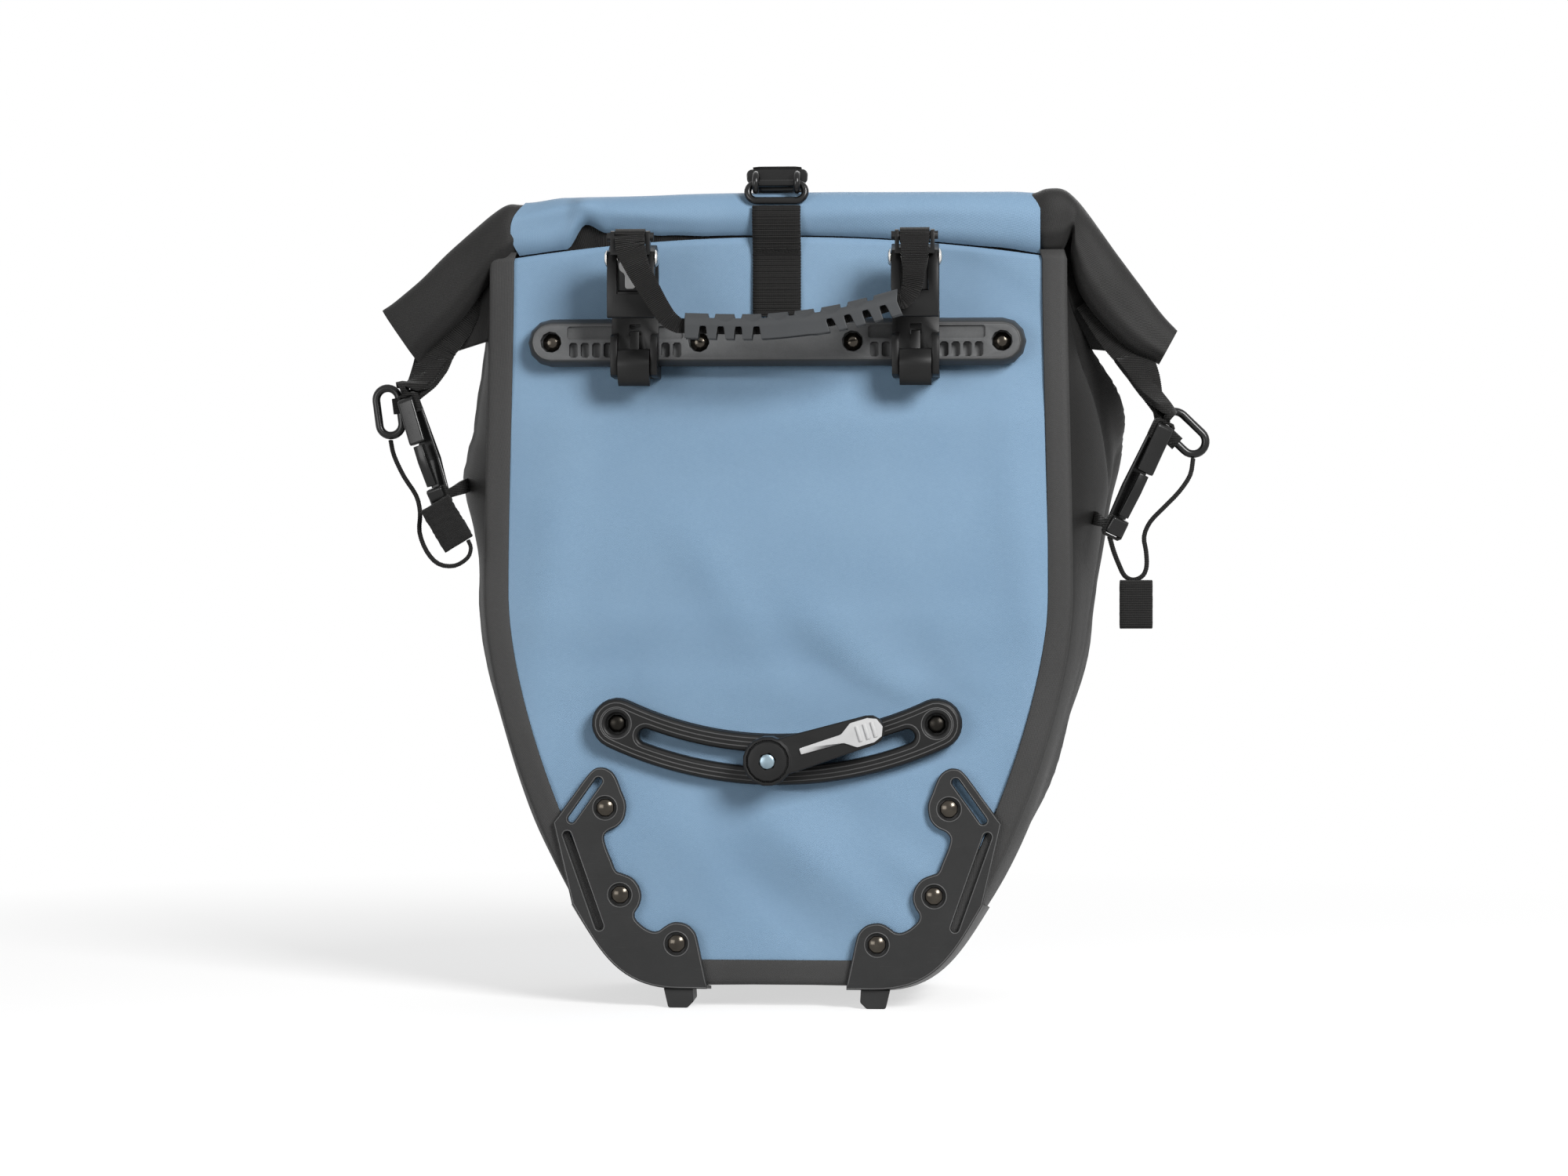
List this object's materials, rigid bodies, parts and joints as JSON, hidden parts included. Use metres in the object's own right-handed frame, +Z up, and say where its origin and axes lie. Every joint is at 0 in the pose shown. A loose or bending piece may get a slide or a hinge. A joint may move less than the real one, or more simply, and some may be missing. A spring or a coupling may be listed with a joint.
{
  "type": "pannier bag",
  "caption": "Roll-top bicycle pannier bag with latching rack hooks on a rail, a carrying handle, a swivelling lower arm on a curved rail, corner guards and side clips.",
  "frame": {"origin": "middle of the bottom of the bounding box, on the floor the bag stands on", "axes": "+X to the right seen from the rack side, +Y from the rack towards the front of the bag, +Z up"},
  "size_m": [0.435, 0.226, 0.4349],
  "materials": {
    "black_fabric": "matte coated weave",
    "black_nickel": "polished dark plating",
    "black_plastic": "fine moulded texture",
    "black_webbing": "ribbed webbing",
    "blue_fabric": "matte coated weave",
    "bright_steel": "polished",
    "gloss_plastic": "glossy",
    "grey_pad": "satin",
    "grip_rubber": "matte",
    "stiffener_plastic": "plain sheet",
    "zinc_steel": "zinc plated"
  },
  "bodies": {
    "bag": {"arc_screw_1": "black_nickel", "arc_screw_2": "black_nickel", "back_panel": "blue_fabric", "closure_strap": "black_webbing", "corner_guard_left": "black_plastic", "corner_guard_right": "black_plastic", "end_ring_left": "gloss_plastic", "end_ring_right": "gloss_plastic", "end_webbing_left": "black_webbing", "end_webbing_right": "black_webbing", "front_panel": "blue_fabric", "front_strap": "black_webbing", "guard_screw_left_1": "black_nickel", "guard_screw_left_2": "black_nickel", "guard_screw_left_3": "black_nickel", "guard_screw_right_1": "black_nickel", "guard_screw_right_2": "black_nickel", "guard_screw_right_3": "black_nickel", "keeper_cord_left": "black_webbing", "keeper_cord_right": "black_webbing", "keeper_tab_left": "black_webbing", "keeper_tab_right": "black_webbing", "lower_rail": "black_plastic", "rail_screw_1": "bright_steel", "rail_screw_2": "bright_steel", "rail_screw_3": "bright_steel", "rail_screw_4": "bright_steel", "roll_end_left": "black_fabric", "roll_end_right": "black_fabric", "roll_top": "blue_fabric", "side_gusset": "black_fabric", "side_loop_left": "black_webbing", "side_loop_right": "black_webbing", "snap_hook_left": "gloss_plastic", "snap_hook_right": "gloss_plastic", "stiffener_board": "stiffener_plastic", "strap_hook": "gloss_plastic", "strap_ring": "gloss_plastic", "upper_rail": "black_plastic"},
    "left_hook": {"rack_hook_left": "black_plastic", "latch_rivet_left": "bright_steel"},
    "right_hook": {"rack_hook_right": "black_plastic", "latch_rivet_right": "bright_steel"},
    "left_latch": {"latch_left": "black_plastic", "latch_pad_left": "grey_pad", "handle_loop_left": "black_webbing"},
    "right_latch": {"latch_right": "black_plastic", "latch_pad_right": "grey_pad", "handle_loop_right": "black_webbing"},
    "left_lever": {"clamp_lever_left": "black_plastic"},
    "right_lever": {"clamp_lever_right": "black_plastic"},
    "handle": {"handle_grip": "grip_rubber", "handle_webbing": "black_webbing"},
    "carriage": {"slot_slider": "black_plastic", "pivot_cap": "black_plastic", "pivot_bolt": "zinc_steel"},
    "arm": {"anchor_arm": "black_plastic", "arm_pad": "grey_pad"},
    "left_gate": {"snap_gate_left": "gloss_plastic"},
    "right_gate": {"snap_gate_right": "gloss_plastic"}
  },
  "joints": [
    {"name": "left_hook_slide", "type": "slide", "parent": "bag", "child": "left_hook", "axis": [1, 0, 0], "range_m": [-0.006, 0.006]},
    {"name": "right_hook_slide", "type": "slide", "parent": "bag", "child": "right_hook", "axis": [1, 0, 0], "range_m": [-0.006, 0.006]},
    {"name": "left_latch", "type": "hinge", "parent": "left_hook", "child": "left_latch", "pos_m": [-0.07719, -0.09305, 0.3845], "axis": [-1, 0, 0], "range_deg": [0, 28], "stiffness_Nm_per_rad": 0.15},
    {"name": "right_latch", "type": "hinge", "parent": "right_hook", "child": "right_latch", "pos_m": [0.06681, -0.09305, 0.3845], "axis": [-1, 0, 0], "range_deg": [0, 28], "stiffness_Nm_per_rad": 0.15},
    {"name": "left_clamp_lever", "type": "hinge", "parent": "left_hook", "child": "left_lever", "pos_m": [-0.07719, -0.07915, 0.3285], "axis": [1, 0, 0], "range_deg": [0, 70]},
    {"name": "right_clamp_lever", "type": "hinge", "parent": "right_hook", "child": "right_lever", "pos_m": [0.06681, -0.07915, 0.3285], "axis": [1, 0, 0], "range_deg": [0, 70]},
    {"name": "handle_swing", "type": "hinge", "parent": "left_latch", "child": "handle", "pos_m": [-0.07719, -0.09805, 0.395], "axis": [-1, 0, 0], "range_deg": [0, 150]},
    {"name": "anchor_travel", "type": "hinge", "parent": "bag", "child": "carriage", "pos_m": [-0.00519, -0.05955, 0.3223], "axis": [0, -1, 0], "range_deg": [-19, 21]},
    {"name": "arm_turn", "type": "hinge", "parent": "carriage", "child": "arm", "pos_m": [-0.00857, -0.05955, 0.12863], "axis": [0, -1, 0], "continuous": true},
    {"name": "left_snap_gate", "type": "hinge", "parent": "bag", "child": "left_gate", "pos_m": [-0.19008, -0.06772, 0.28932], "axis": [0.9033, -0.3162, 0.2899], "range_deg": [0, 9], "stiffness_Nm_per_rad": 0.05},
    {"name": "right_snap_gate", "type": "hinge", "parent": "bag", "child": "right_gate", "pos_m": [0.18229, -0.06774, 0.27346], "axis": [0.8623, 0.3018, -0.4067], "range_deg": [0, 9], "stiffness_Nm_per_rad": 0.05}
  ],
  "couplings": [
    {"joint": "right_latch", "follows": "left_latch", "ratio": 1}
  ]
}
